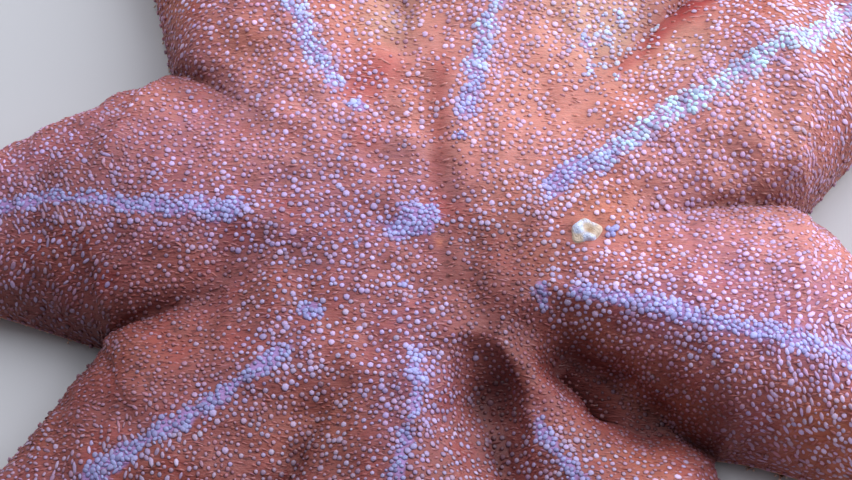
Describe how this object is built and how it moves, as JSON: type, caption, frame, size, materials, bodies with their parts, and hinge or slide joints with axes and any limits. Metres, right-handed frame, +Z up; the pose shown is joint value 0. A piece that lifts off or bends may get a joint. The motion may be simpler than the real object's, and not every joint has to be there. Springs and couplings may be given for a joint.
{
  "type": "sun star starfish",
  "caption": "Life-size sun star with a broad disc and tapering rays, resting on its underside, with a sieve plate, mouth and eyespots.",
  "frame": {"origin": "on the floor, at the middle of the box round the starfish, which is under the middle of its disc", "axes": "+Z up out of the back of the disc; +X and +Y lie in the floor, +X towards the ray that lies just under the sieve plate's side"},
  "size_m": [0.2114, 0.2071, 0.017],
  "materials": {
    "flesh": "salmon-orange skin under a dense coat of short whitish and lavender spinelets",
    "plate": "pale, chalky, finely grooved",
    "jaws": "pale orange, matt",
    "eyes": "deep red, moist"
  },
  "bodies": {
    "root": {"central_disc": "flesh", "ray_1": "flesh", "ray_2": "flesh", "ray_3": "flesh", "ray_4": "flesh", "ray_5": "flesh", "ray_6": "flesh", "ray_7": "flesh", "ray_8": "flesh", "eyespot_1": "eyes", "eyespot_2": "eyes", "eyespot_3": "eyes", "eyespot_4": "eyes", "eyespot_5": "eyes", "eyespot_6": "eyes", "eyespot_7": "eyes", "eyespot_8": "eyes", "mouth": "jaws", "sieve_plate": "plate"}
  },
  "joints": []
}
